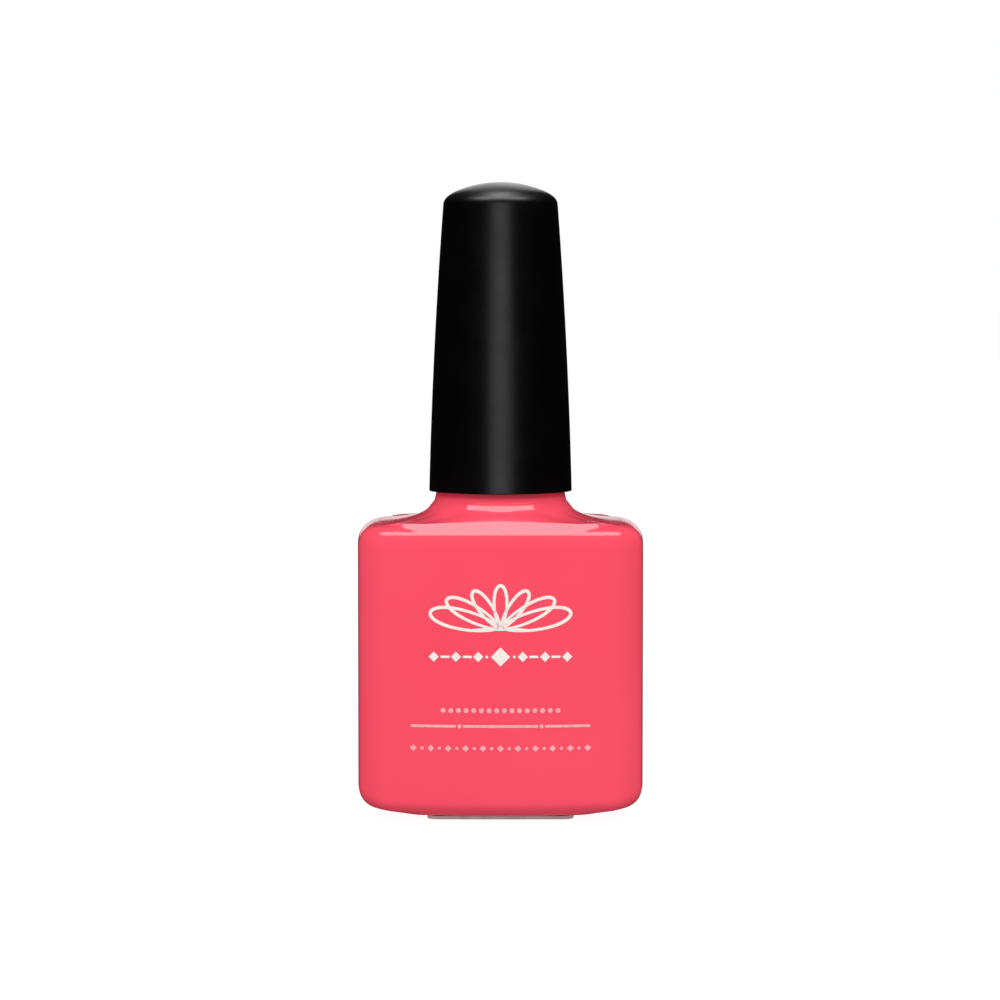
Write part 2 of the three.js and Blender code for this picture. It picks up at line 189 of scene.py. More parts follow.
def piece(name, shape, materials, body, nodes=(), sharp=35, choose=None):
    verts, faces = shape
    mesh = bpy.data.meshes.new(name)
    mesh.from_pydata([(x * MM, y * MM, z * MM) for x, y, z in verts], [], faces)
    edit = bmesh.new()
    edit.from_mesh(mesh)
    bmesh.ops.recalc_face_normals(edit, faces=edit.faces)
    edit.to_mesh(mesh)
    edit.free()
    for material in materials:
        mesh.materials.append(material)
    if choose:
        for polygon in mesh.polygons:
            centre = polygon.center / MM
            polygon.material_index = choose(centre, polygon.normal)
    mesh.shade_smooth()
    mesh.set_sharp_from_angle(angle=math.radians(sharp))
    obj = bpy.data.objects.new(name, mesh)
    SCENE.collection.objects.link(obj)
    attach(obj, body)
    if nodes:
        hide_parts(*nodes)
    return obj


# ---------- materials ----------

def srgb(r, g, b):
    def channel(v):
        v /= 255
        return v / 12.92 if v <= 0.04045 else ((v + 0.055) / 1.055) ** 2.4
    return (channel(r), channel(g), channel(b), 1.0)


class Surface:
    """A Principled material and short ways to add nodes to it."""

    def __init__(self, name, **sockets):
        self.material = bpy.data.materials.new(name)
        self.material.use_nodes = True
        self.tree = self.material.node_tree
        self.shader = self.tree.nodes["Principled BSDF"]
        self.place = self.tree.nodes.new("ShaderNodeTexCoord").outputs["Object"]
        for socket, value in sockets.items():
            self.shader.inputs[socket.replace("_", " ")].default_value = value

    def node(self, kind, **settings):
        made = self.tree.nodes.new(kind)
        for key, value in settings.items():
            if key in made.inputs:
                made.inputs[key].default_value = value
            else:
                setattr(made, key, value)
        return made

    def link(self, out, socket):
        self.tree.links.new(out, socket)

    def noise(self, scale, detail=3.0, roughness=0.5, stretch=None):
        made = self.node("ShaderNodeTexNoise", Scale=scale, Detail=detail, Roughness=roughness)
        source = self.place
        if stretch:
            mapping = self.node("ShaderNodeMapping")
            mapping.inputs["Scale"].default_value = stretch
            self.link(source, mapping.inputs["Vector"])
            source = mapping.outputs["Vector"]
        self.link(source, made.inputs["Vector"])
        return made.outputs["Fac"]

    def ramp(self, value, stops):
        made = self.node("ShaderNodeValToRGB")
        elements = made.color_ramp.elements
        while len(elements) < len(stops):
            elements.new(0.5)
        for element, (position, colour) in zip(elements, stops):
            element.position = position
            element.color = colour
        self.link(value, made.inputs["Fac"])
        return made.outputs["Color"]

    def span(self, value, low, high, to_low, to_high):
        made = self.node("ShaderNodeMapRange")
        for socket, number in (("From Min", low), ("From Max", high), ("To Min", to_low), ("To Max", to_high)):
            made.inputs[socket].default_value = number
        self.link(value, made.inputs["Value"])
        return made.outputs["Result"]

    def mix(self, factor, a, b):
        made = self.node("ShaderNodeMix", data_type="RGBA")
        self.link(factor, made.inputs["Factor"])
        for source, socket in ((a, made.inputs["A"]), (b, made.inputs["B"])):
            if isinstance(source, tuple):
                socket.default_value = source
            else:
                self.link(source, socket)
        return made.outputs["Result"]

    def bump(self, height, distance, strength=1.0):
        made = self.node("ShaderNodeBump", Strength=strength, Distance=distance)
        self.link(height, made.inputs["Height"])
        self.link(made.outputs["Normal"], self.shader.inputs["Normal"])

    def height(self):
        split = self.node("ShaderNodeSeparateXYZ")
        self.link(self.place, split.inputs["Vector"])
        return split.outputs["Z"]


CORAL = srgb(252, 79, 101)
CORAL_DEEP = srgb(238, 66, 90)


def lacquer():
    s = Surface("coral_lacquer")
    drift = s.noise(60, 2)
    s.link(s.ramp(drift, [(0.3, srgb(253, 80, 102)), (0.7, srgb(255, 84, 106))]), s.shader.inputs["Base Color"])
    s.link(s.span(s.noise(900, 4), 0.3, 0.7, 0.05, 0.1), s.shader.inputs["Roughness"])
    s.bump(s.noise(420, 3), 0.00001, 0.25)
    return s.material


def bare_glass():
    s = Surface("bare_glass", Base_Color=srgb(250, 253, 252), IOR=1.5, Transmission_Weight=1.0)
    s.link(s.span(s.noise(500, 3), 0.3, 0.7, 0.01, 0.05), s.shader.inputs["Roughness"])
    s.bump(s.noise(300, 2), 0.00002, 0.25)
    return s.material


def foot_glass():
    s = Surface("foot_glass", IOR=1.5, Transmission_Weight=0.3)
    tint = s.ramp(s.noise(700, 3), [(0.3, srgb(226, 186, 188)), (0.7, srgb(244, 208, 210))])
    s.link(tint, s.shader.inputs["Base Color"])
    s.link(s.span(s.noise(1200, 4), 0.3, 0.7, 0.25, 0.45), s.shader.inputs["Roughness"])
    s.bump(s.noise(1500, 3), 0.00002, 0.4)
    return s.material


def satin_black():
    s = Surface("satin_black", Roughness=0.4, Specular_IOR_Level=0.5)
    tone = s.ramp(s.noise(120, 4, 0.6), [(0.3, srgb(1, 1, 2)), (0.7, srgb(2, 2, 3))])
    s.link(tone, s.shader.inputs["Base Color"])
    s.link(s.span(s.noise(260, 4, 0.6), 0.3, 0.7, 0.31, 0.39), s.shader.inputs["Roughness"])
    s.bump(s.noise(5200, 3, 0.6), 0.00001, 0.35)
    return s.material


def moulded_black(name, shade, rough, grain):
    s = Surface(name, Roughness=rough)
    r = shade
    s.link(s.ramp(s.noise(180, 3), [(0.3, srgb(r, r, r + 2)), (0.7, srgb(r + 7, r + 7, r + 9))]),
           s.shader.inputs["Base Color"])
    s.link(s.span(s.noise(420, 4), 0.3, 0.7, rough - 0.06, rough + 0.08), s.shader.inputs["Roughness"])
    s.bump(s.noise(2600, 3), 0.00002, grain)
    return s.material


def wetted_stem():
    s = Surface("wetted_stem", Coat_Weight=0.3, Coat_Roughness=0.03)
    black = s.ramp(s.noise(180, 3), [(0.3, srgb(20, 20, 22)), (0.7, srgb(28, 28, 31))])
    wander = s.span(s.noise(700, 3), 0.25, 0.75, -0.0011, 0.0011)
    edge = s.node("ShaderNodeMath", operation="ADD")
    s.link(s.height(), edge.inputs[0])
    s.link(wander, edge.inputs[1])
    film = s.span(edge.outputs["Value"], 0.0255, 0.0262, 1.0, 0.0)
    wet = s.ramp(s.noise(300, 2), [(0.3, CORAL_DEEP), (0.7, CORAL)])
    s.link(s.mix(film, black, wet), s.shader.inputs["Base Color"])
    s.link(s.span(film, 0.0, 1.0, 0.34, 0.08), s.shader.inputs["Roughness"])
    s.bump(s.noise(900, 2), 0.00003, 0.3)
    return s.material


def polish_wet(name, rough):
    s = Surface(name, Roughness=rough, Coat_Weight=0.6, Coat_Roughness=0.02)
    s.link(s.ramp(s.noise(240, 3), [(0.3, CORAL_DEEP), (0.7, CORAL)]), s.shader.inputs["Base Color"])
    s.link(s.span(s.noise(600, 3), 0.3, 0.7, rough * 0.7, rough * 1.3), s.shader.inputs["Roughness"])
    s.bump(s.noise(500, 2), 0.00003, 0.25)
    return s.material


def nylon():
    s = Surface("nylon_filament", IOR=1.53, Transmission_Weight=0.15)
    streak = s.noise(2600, 3, 0.5, (1, 1, 0.05))
    dry = s.ramp(streak, [(0.3, srgb(206, 176, 158)), (0.7, srgb(238, 222, 206))])
    wet = s.ramp(streak, [(0.3, CORAL_DEEP), (0.7, CORAL)])
    film = s.span(s.height(), 0.0185, 0.0199, 1.0, 0.55)
    s.link(s.mix(film, dry, wet), s.shader.inputs["Base Color"])
    s.link(s.span(streak, 0.3, 0.7, 0.14, 0.3), s.shader.inputs["Roughness"])
    return s.material


def foam():
    s = Surface("foamed_seal", Roughness=0.6, Subsurface_Weight=0.1, Subsurface_Scale=0.0005)
    cell = s.node("ShaderNodeTexVoronoi", Scale=3800)
    s.link(s.place, cell.inputs["Vector"])
    s.link(s.ramp(cell.outputs["Distance"], [(0.1, srgb(214, 212, 204)), (0.6, srgb(241, 240, 234))]),
           s.shader.inputs["Base Color"])
    s.bump(cell.outputs["Distance"], 0.00004, 0.5)
    return s.material


def steel():
    s = Surface("drawn_steel", Metallic=1.0)
    grain = s.noise(3000, 3, 0.5, (0.05, 1, 1))
    s.link(s.ramp(grain, [(0.3, srgb(170, 172, 175)), (0.7, srgb(208, 209, 212))]), s.shader.inputs["Base Color"])
    s.link(s.span(grain, 0.3, 0.7, 0.22, 0.36), s.shader.inputs["Roughness"])
    return s.material


def ink(name, dark, light):
    s = Surface(name, Roughness=0.4)
    s.link(s.ramp(s.noise(1500, 4), [(0.3, dark), (0.7, light)]), s.shader.inputs["Base Color"])
    s.link(s.span(s.noise(2500, 3), 0.3, 0.7, 0.3, 0.48), s.shader.inputs["Roughness"])
    s.bump(s.noise(4000, 3), 0.00001, 0.3)
    return s.material


LACQUER = lacquer()
BARE_GLASS = bare_glass()
FOOT_GLASS = foot_glass()
SATIN = satin_black()
INNER_BLACK = moulded_black("moulded_black", 18, 0.5, 0.35)
STEM_BLACK = wetted_stem()
POLISH = polish_wet("gel_polish", 0.08)
POLISH_FILM = polish_wet("polish_film", 0.12)
NYLON = nylon()
FOAM = foam()
STEEL = steel()
INK_CREAM = ink("ink_cream", srgb(243, 232, 224), srgb(252, 245, 239))
INK_PINK = ink("ink_pink", srgb(246, 158, 164), srgb(252, 184, 188))


# ---------- glass bottle ----------

class Outline:
    """Rounded rectangle with bowed faces, walked by the direction of its normal."""

    def __init__(self, half_w, half_d, front_r, side_r, corner_r):
        self.side_x, self.front_y = half_w - side_r, half_d - front_r
        self.front_r, self.side_r, self.corner_r = front_r, side_r, corner_r
        side_reach, front_reach = side_r - corner_r, front_r - corner_r
        apart = math.hypot(self.side_x, self.front_y)
        along = (side_reach**2 - front_reach**2 + apart**2) / (2 * apart)
        across = math.sqrt(side_reach**2 - along**2)
        ux, uy = -self.side_x / apart, self.front_y / apart
        self.corner = (self.side_x + ux * along - uy * across, uy * along + ux * across)
        self.side_end = math.atan2(self.corner[1], self.corner[0] - self.side_x)
        self.front_end = math.atan2(self.corner[1] - self.front_y, self.corner[0])

    def columns(self):
        """Points all round, each with its outward direction: (x, y, nx, ny)."""
        quarter = []
        arcs = (((self.side_x, 0), self.side_r, 0, self.side_end, 10),
                (self.corner, self.corner_r, self.side_end, self.front_end, 18),
                ((0, self.front_y), self.front_r, self.front_end, math.pi / 2, 20))
        for (cx, cy), radius, start, end, count in arcs:
            for t in steps(count, start, end)[:-1]:
                quarter.append((cx + radius * math.cos(t), cy + radius * math.sin(t), math.cos(t), math.sin(t)))
        top = (0, self.front_y + self.front_r, 0, 1)
        half = quarter + [top] + [(-x, y, -nx, ny) for x, y, nx, ny in quarter[:0:-1]]
        return half + [(-x, -y, -nx, -ny) for x, y, nx, ny in half]

    def ring(self, inset, z):
        return [(x - inset * nx, y - inset * ny, z) for x, y, nx, ny in self.columns()]


BODY = Outline(BODY_HALF_W - SKIN, BODY_HALF_D - SKIN, 66, 90, 4.2)
CAVITY = Outline(13.2, 8.4, 62, 80, 3.4)
FOOT = Outline(8.73, 9.28, 300, 300, 1.2)
FOOT_H = 0.45
HEEL_IN, HEEL_UP_FRONT, HEEL_UP_SIDE = 3.1 - SKIN, 1.9, 3.2
CORNER_LIFT, CORNER_LIFT_FROM = 0.2, 13.0
SHOULDER_Z, SHOULDER_IN, SHOULDER_UP = 31.93, 3.48, 3.0 - SKIN
SHOULDER_FALL, SHOULDER_FALL_FROM, SHOULDER_SQUARE = 0.03, 10, 0.8
SWEEP_FRONT, SWEEP_SIDE = 40, 78
SLOPE, SLOPE_MIDDLE, SLOPE_END = 1.1, 1.15, 0.8
NECK_FOOT = (8.5, 36.42)
COAT_TOP_Z = 38.62
NECK_ROOT_R, NECK_CREST_R, BORE_R = 5.65, 6.35, 3.8


def directions(ring):
    return [math.atan2(y, x) for x, y, _ in ring]


def round_ring(angles, radius, z):
    return [(radius * math.cos(a), radius * math.sin(a), z) for a in angles]


def screw_height(z, angle, first, turns, half_root, half_crest, fade):
    """0 to 1: how much of a thread's height stands at this place."""
    best = 0.0
    around = (angle / (2 * math.pi)) % 1.0
    for lap in range(-1, 3):
        turn = around + lap
        if not turns[0] - 0.001 <= turn <= turns[1] + 0.001:
            continue
        off = abs(z - (first + PITCH * turn))
        side = clamp01((half_root - off) / (half_root - half_crest))
        end = smooth(min(turn - turns[0], turns[1] - turn) / fade)
        best = max(best, smooth(side) * end)
    return best


def shoulder_column(x, y, nx, ny):
    """One line of points from the top of the wall in to the foot of the neck.

    In front and behind, the rounding runs into a straight slope. Towards the corners and sides it rolls
    right over to a nearly level deck.
    """
    wide = max(smooth((abs(nx) - 0.1) / 0.75), smooth((abs(x) - 9) / 6))
    sweep = math.radians(lerp(SWEEP_FRONT, SWEEP_SIDE, wide))
    line = []
    for a in steps(22, 0, sweep):
        inset = SHOULDER_IN * (1 - math.cos(a)**SHOULDER_SQUARE)
        px, py = x - inset * nx, y - inset * ny
        past = max(0.0, math.hypot(px, py) - SHOULDER_FALL_FROM)
        line.append((px, py, SHOULDER_Z + SHOULDER_UP * math.sin(a)**SHOULDER_SQUARE
                     - SHOULDER_FALL * past * math.sin(a)**4))
    px, py, z = line[-1]
    slope_in = (1 - wide) * lerp(SLOPE_MIDDLE, SLOPE_END, clamp01(abs(x) / 11))
    for t in steps(8)[1:]:
        line.append((px - t * slope_in * nx, py - t * slope_in * ny, z + SLOPE * t * slope_in))
    px, py, z = line[-1]
    reach = math.hypot(px, py)
    run = reach - NECK_FOOT[0]
    near = 1 - smooth((run - 1.5) / 3)
    lead = lerp(0.74, 0.35, near) * run
    leave = (reach - lead, z + lead * lerp(0.06, 0.62, near))
    arrive = (NECK_FOOT[0] + lerp(0.3, 0.4, near), NECK_FOOT[1] - lerp(0.5, 0.42, near))
    for t in steps(20)[1:]:
        r, pz = bezier((reach, z), leave, arrive, NECK_FOOT, t)
        line.append((px / reach * r, py / reach * r, pz))
    return line


def heel_point(x, y, nx, ny, a):
    """Rounding under the wall, lower in front and behind than round the sides."""
    inset = HEEL_IN * (1 - math.sin(a))
    px, py = x - inset * nx, y - inset * ny
    up = lerp(HEEL_UP_FRONT, HEEL_UP_SIDE, smooth((abs(nx) - 0.1) / 0.8))
    past = max(0.0, math.hypot(px, py) - CORNER_LIFT_FROM)
    return px, py, FOOT_H + up * (1 - math.cos(a)) + CORNER_LIFT * past * (1 - math.sin(a))


def bottle_outside():
    wall = BODY.columns()
    heel = [[heel_point(*at, a) for at in wall] for a in steps(14, 0, math.pi / 2)]
    columns = [shoulder_column(*at) for at in wall]
    shoulder = [list(ring) for ring in zip(*columns)]
    angles = directions(shoulder[-1])
    neck = rounded([NECK_FOOT, (8.43, 36.51), (7.97, 37.08), (7.88, 37.2), (7.73, 37.85), (7.6, 38.42),
                    (7.3, 38.62), (6.45, 38.7), (5.85, 38.95), (NECK_ROOT_R, 39.5), (NECK_ROOT_R, 40.2)], 0.22)[1:]
    foot = [round_ring(angles, r, z) for r, z in ((2.5, 0.49), (4.2, 0.4), (5.6, 0.22), (6.1, 0.07), (6.35, 0.0))]
    foot += [FOOT.ring(inset, z) for inset, z in (
        (0.22, 0.0), (0.1, 0.02), (0.03, 0.07), (0, 0.15), (0, 0.36), (-0.05, 0.43))]
    finish = []
    for z in steps(96, 40.25, RIM_Z - 0.4):
        finish.append([(r * math.cos(a), r * math.sin(a), z) for a in angles
                       for r in [lerp(NECK_ROOT_R, NECK_CREST_R,
                                      screw_height(z, a, THREAD_Z, (0, 1.25), 0.55, 0.18, 0.07))]])
    rim = rounded([(NECK_ROOT_R, RIM_Z - 0.35), (NECK_ROOT_R, RIM_Z), (BORE_R, RIM_Z), (BORE_R, RIM_Z - 0.8)],
                  0.35, 6)[1:]
    walls = [[(x, y, lerp(low[2], SHOULDER_Z, t)) for (x, y, _, _), low in zip(wall, heel[-1])]
             for t in steps(8)[1:-1]]
    rings = foot + heel + walls + shoulder
    rings += [round_ring(angles, r, z) for r, z in neck] + finish
    rings += [round_ring(angles, r, z) for r, z in rim]
    return rings, angles


def cavity_floor(inset):
    return [CAVITY.ring(inset + 2.6 * (1 - math.sin(a)), 6.2 + inset + 3.0 * (1 - math.cos(a)))
            for a in steps(9, 0, math.pi / 2)]


def cavity_inside(angles):
    """From the neck bore down to the cavity floor."""
    shoulder = [CAVITY.ring(3.1 * (1 - math.cos(a)), 28.4 + 3.2 * math.sin(a))
                for a in steps(9, 0, math.radians(62))]
    edge = shoulder[-1]
    throat = []
    for t in steps(14)[1:]:
        share = math.sin(t * math.pi / 2)
        z = edge[0][2] + (36.6 - edge[0][2]) * (0.4 * t + 0.6 * t**3)
        ring = []
        for x, y, _ in edge:
            scale = 1 - share + share * BORE_R / math.hypot(x, y)
            ring.append((x * scale, y * scale, z))
        throat.append(ring)
    upward = cavity_floor(0) + [CAVITY.ring(0, z) for z in steps(4, 9.2, 28.4)[1:-1]] + shoulder + throat
    return [round_ring(directions(edge), BORE_R, z) for z in (44.0, 40.0)] + upward[::-1]


def glass_bottle():
    outside, angles = bottle_outside()
    inside = cavity_inside(angles)
    shape = loft(outside + inside, (0, 0, 0.5), (0, 0, 6.2))

    def zone(centre, normal):
        reach = math.hypot(centre.x, centre.y)
        if centre.z < FOOT_H - 0.03:
            return 2
        coated = centre.z < COAT_TOP_Z and (normal.x * centre.x + normal.y * centre.y > 0 or centre.z < 5
                                            or reach > 8.2)
        inner = centre.z > 6.1 and abs(centre.x) < 13.3 and abs(centre.y) < 8.5 and centre.z < 36 \
            and normal.x * centre.x + normal.y * centre.y + normal.z * (centre.z - 20) < 0
        return 0 if coated and not inner else 1

    return piece("coated_glass_bottle", shape, [LACQUER, BARE_GLASS, FOOT_GLASS], "bottle",
                 ["bottle_glass"], 40, zone)


# ---------- print ----------

def front_y(x):
    """The lacquered front face at this width."""
    reach = BODY_HALF_D - SKIN - 66
    return -(reach + math.sqrt(66**2 - x * x))


INK_LIFT, INK_SUNK = 0.035, 0.02


def ink_point(x, z, lift):
    return (x, front_y(x) - lift, z)


def ink_line(path, widths):
    """A brush line of ink: path of (x, z), full width at each point."""
    rings = []
    for i, (x, z) in enumerate(path):
        ax, az = path[max(0, i - 1)]
        bx, bz = path[min(len(path) - 1, i + 1)]
        along = Vector((bx - ax, bz - az)).normalized()
        sx, sz = -along.y * widths[i] / 2, along.x * widths[i] / 2
        rings.append([ink_point(x + sx, z + sz, -INK_SUNK), ink_point(x + sx * 0.9, z + sz * 0.9, INK_LIFT),
                      ink_point(x - sx * 0.9, z - sz * 0.9, INK_LIFT), ink_point(x - sx, z - sz, -INK_SUNK)])
    middle = [tuple(sum(p[k] for p in ring) / 4 for k in range(3)) for ring in (rings[0], rings[-1])]
    return loft(rings, *middle)


def ink_dot(x, z, radius, corners=20, turn=0.0):
    ring = [(x + radius * math.cos(a), z + radius * math.sin(a))
            for a in (turn + 2 * math.pi * i / corners for i in range(corners))]
    under = [ink_point(px, pz, -INK_SUNK) for px, pz in ring]
    over = [ink_point(x + (px - x) * 0.93, z + (pz - z) * 0.93, INK_LIFT) for px, pz in ring]
    return loft([under, over], ink_point(x, z, -INK_SUNK), ink_point(x, z, INK_LIFT))


def petal(root, length, lean, belly, thick):
    """Outline of one leaf of the fan, drawn as a single closed-looking line."""
    along = Vector((math.sin(lean), math.cos(lean)))
    side = Vector((along.y, -along.x))
    path, widths = [], []
    for t in steps(36):
        out = math.sin(math.pi * t)
        far = (1 - math.cos(2 * math.pi * t)) / 2
        swing = math.sin(2 * math.pi * t) * belly * (0.75 + 0.25 * far)
        point = Vector(root) + along * (length * far**0.9) + side * swing
        path.append((point.x, point.y))
        widths.append(thick * (0.55 + 0.45 * out))
    return ink_line(path, widths)


def front_print():
    mark = []
    for lean, length in ((0, 5.0), (0.62, 5.3), (-0.62, 5.3), (1.08, 7.0), (-1.08, 7.0), (1.36, 8.3), (-1.36, 8.3)):
        root = (math.sin(lean) * 0.25, 22.95)
        mark.append(petal(root, length * 0.98, lean, 0.13 * length + 0.2, 0.42))
    mark.append(ink_line([(x, 22.75 - 0.0 * x) for x in steps(24, -3.2, 3.2)],
                         [0.34 * (1 - (abs(x) / 3.3)**2) + 0.05 for x in steps(24, -3.2, 3.2)]))
    for x in steps(6, -7.8, 7.8):
        if abs(x) < 0.1:
            mark.append(ink_dot(x, 19.5, 1.15, 4))
        else:
            mark.append(ink_dot(x, 19.5, 0.62, 4))
    for side in (-1, 1):
        for start, end in ((1.45, 1.75), (3.35, 4.4), (5.95, 7.0)):
            span = steps(6, side * start, side * end)
            mark.append(ink_line([(x, 19.5) for x in span], [0.3] * 7))
    piece("front_emblem", join(mark), [INK_CREAM], "bottle")
    lines = []
    for x in steps(15, -6.7, 6.7):
        lines.append(ink_dot(x, 13.2, 0.3))
    for start, end in ((-10.5, -5.2), (-4.4, 4.4), (5.2, 10.5)):
        span = steps(24, start, end)
        lines.append(ink_line([(x, 11.35) for x in span], [0.34] * len(span)))
    for side in (-1, 1):
        lines.append(ink_dot(side * 4.8, 11.35, 0.24))
    for i, x in enumerate(steps(20, -10.2, 10.2)):
        lines.append(ink_dot(x, 8.75, 0.42 if i % 2 == 0 else 0.2, 4 if i % 2 == 0 else 16))
    piece("front_fine_rules", join(lines), [INK_PINK], "bottle")


# ---------- polish ----------

def polish_fill():
    floor = cavity_floor(0.06)
    level = 26.0
    walls = [CAVITY.ring(0.06, z) for z in steps(4, 9.2, level - 0.15)[1:]]
    top = [CAVITY.ring(0.06 + inset, level - drop) for inset, drop in
           ((0.03, 0.0), (0.12, 0.12), (0.35, 0.3), (0.8, 0.42), (1.6, 0.48), (3.0, 0.5))]
    shape = loft(floor + walls + top, (0, 0, 6.26), (0, 0, level - 0.5))
    piece("polish_liquid", shape, [POLISH], "bottle", ["polish_fill"], 50)


# ---------- overcap ----------

CAP_EDGE_Z, DOME_R, DOME_EDGE_R = 73.1, 13.6, 5.15


def cap_radius(z):
    t = (z - CAP_RIM_Z) / (CAP_EDGE_Z - CAP_RIM_Z)
    return CAP_RIM_R - 0.02 - 0.86 * t - 0.9 * t * t


def dome_z(r):
    return CAP_TOP_Z - 0.01 - DOME_R + math.sqrt(DOME_R**2 - r * r)


def rib_columns(ribs, thick, at):
    """Angles all round, with close pairs where each rib's flanks stand."""
    half = thick / 2 / at
    columns = set()
    for i in range(ribs):
        middle = 2 * math.pi * i / ribs
        for off in (-half * 1.05, -half * 0.95, half * 0.95, half * 1.05):
            columns.add(round((middle + off) % (2 * math.pi), 6))
    for i in range(180):
        angle = 2 * math.pi * (i + 0.5) / 180
        near = min(abs((angle - 2 * math.pi * k / ribs + math.pi) % (2 * math.pi) - math.pi) for k in range(ribs))
        if abs(near - half) > half * 0.12:
            columns.add(round(angle, 6))
    return sorted(columns), half


def overcap():
    side_top = CAP_EDGE_Z - 0.75
    side = [(cap_radius(z), z) for z in steps(60, CAP_RIM_Z + 0.16, side_top)]
    a, b = (cap_radius(side_top), side_top), (DOME_EDGE_R, dome_z(DOME_EDGE_R))
    corner = (a[0] - 0.05, CAP_EDGE_Z + 0.2)
    turn = [tuple(p * (1 - t)**2 + q * 2 * t * (1 - t) + r * t * t for p, q, r in zip(a, corner, b))
            for t in steps(10)][1:]
    dome = [(DOME_EDGE_R * (1 - t), dome_z(DOME_EDGE_R * (1 - t))) for t in steps(20)][1:-1]
    rim_r = cap_radius(CAP_RIM_Z)
    rim = rounded([(7.99, CAP_RIM_Z + 0.5), (7.99, CAP_RIM_Z), (rim_r, CAP_RIM_Z), side[0]], 0.14, 5)[1:-1]
    wall = [(7.98, 38.95), (7.62, 39.12)] + [
        (lerp(7.6, 7.56, t), lerp(39.2, 47, t)) for t in steps(4)] + [
        (lerp(7.56, 7.35, t), lerp(47, 52, t)) for t in steps(4)][1:]
    upper = [(7.3, 53.15), (7.3, 53.25), (7.1, 58), (6.72, 65), (6.2, 70.9), (6.18, 71.0), (6.12, 71.9),
             (5.5, 72.6), (4.2, 73.2), (2.4, 73.7)]
    columns, half = rib_columns(6, 0.9, 6.0)
    profile = [(0, 74.0)] + upper[::-1] + wall[::-1] + rim + side + turn + dome
    profile.append((0, CAP_TOP_Z - 0.01))
    inner_rows = len(upper)

    def radius_at(r, z, angle, row):
        near = min(abs((angle - math.pi * k / 3 + math.pi) % (2 * math.pi) - math.pi) for k in range(6))
        if row < inner_rows and near < half and 53.2 < z < 70.95:
            return 4.9
        return r

    piece("cap_sleeve", shaped(columns, profile, radius_at), [SATIN], "cap", ["overcap"], 30)


# ---------- inner cap ----------

def inner_cap():
    outer = [(5.7, 56.0), (5.9, 55.95), (6.0, 55.8), (6.0, 52.95), (6.0, 52.85), (6.0, 52.15), (6.1, 52.05),
             (6.85, 51.97), (7.0, 51.85), (7.06, 51.6), (7.28, 47.0), (7.32, 43.0), (7.32, 39.4),
             (7.27, 39.25), (7.15, 39.2), (6.9, 39.2), (6.72, 39.28), (6.6, 39.6)]
    bore = [(6.6, z) for z in steps(100, 39.8, 47.4)]
    deep = [(6.55, 47.65), (5.95, 48.25), (5.9, 48.5), (5.9, 51.35), (5.8, 51.45), (2.6, 51.45), (2.5, 51.55),
            (2.5, 54.6), (2.3, 54.8)]
    columns, half = rib_columns(6, 1.5, 5.3)
    profile = [(0, 56.0), (3.0, 56.0), (4.55, 56.0)] + outer + bore + deep + [(0, 54.8)]

    def radius_at(r, z, angle, row):
        near = min(abs((angle - math.pi * k / 3 + math.pi) % (2 * math.pi) - math.pi) for k in range(6))
        if row < 8 and r > 4.6 and z > 52.9 and near < half:
            return 4.6
        if row >= 20 and 39.7 < z < 47.5 and r > 6.5:
            ridge = screw_height(z, angle, THREAD_Z - PITCH / 2, (0.63, 1.63), 0.4, 0.14, 0.07)
            return lerp(6.6, 5.95, ridge)
        return r

    piece("screw_cap_insert", shaped(columns, profile, radius_at), [INNER_BLACK], "cap",
          ["inner_cap"], 30)


# ---------- seal and brush ----------

def neck_seal():
    loop = rounded([(4.6, 49.3), (5.5, 49.3), (5.5, 49.85), (3.75, 49.85), (3.75, 49.3), (4.6, 49.3)], 0.12, 4)
    piece("foam_seal_ring", revolve(loop[:-1], 96), [FOAM], "seal", ["neck_seal"], 40)


def brush_stem():
    corners = [(0, 24.0), (1.35, 24.0), (1.35, 20.0), (1.75, 20.0), (1.75, 25.0), (1.6, 26.5), (1.58, 44.2),
               (3.1, 46.2), (3.4, 46.9), (3.4, 50.15), (5.3, 50.15), (5.3, 51.15), (2.2, 51.15), (2.2, 54.5),
               (0, 54.5)]
    piece("flanged_stem", revolve(rounded(corners, 0.16, 4), 96), [STEM_BLACK], "brush",
          ["brush_stem"], 40)


TUFT = [(0.55, 8.06), (0.95, 8.6), (1.22, 9.6), (1.48, 12.0), (1.58, 15.0), (1.43, 17.6), (1.14, 19.2),
        (1.03, 19.7), (1.02, 23.1)]
FLATTEN = 0.8


def tuft_radius(z):
    for (r0, z0), (r1, z1) in zip(TUFT, TUFT[1:]):
        if z <= z1:
            return lerp(r0, r1, smooth(clamp01((z - z0) / (z1 - z0))))
    return TUFT[-1][0]


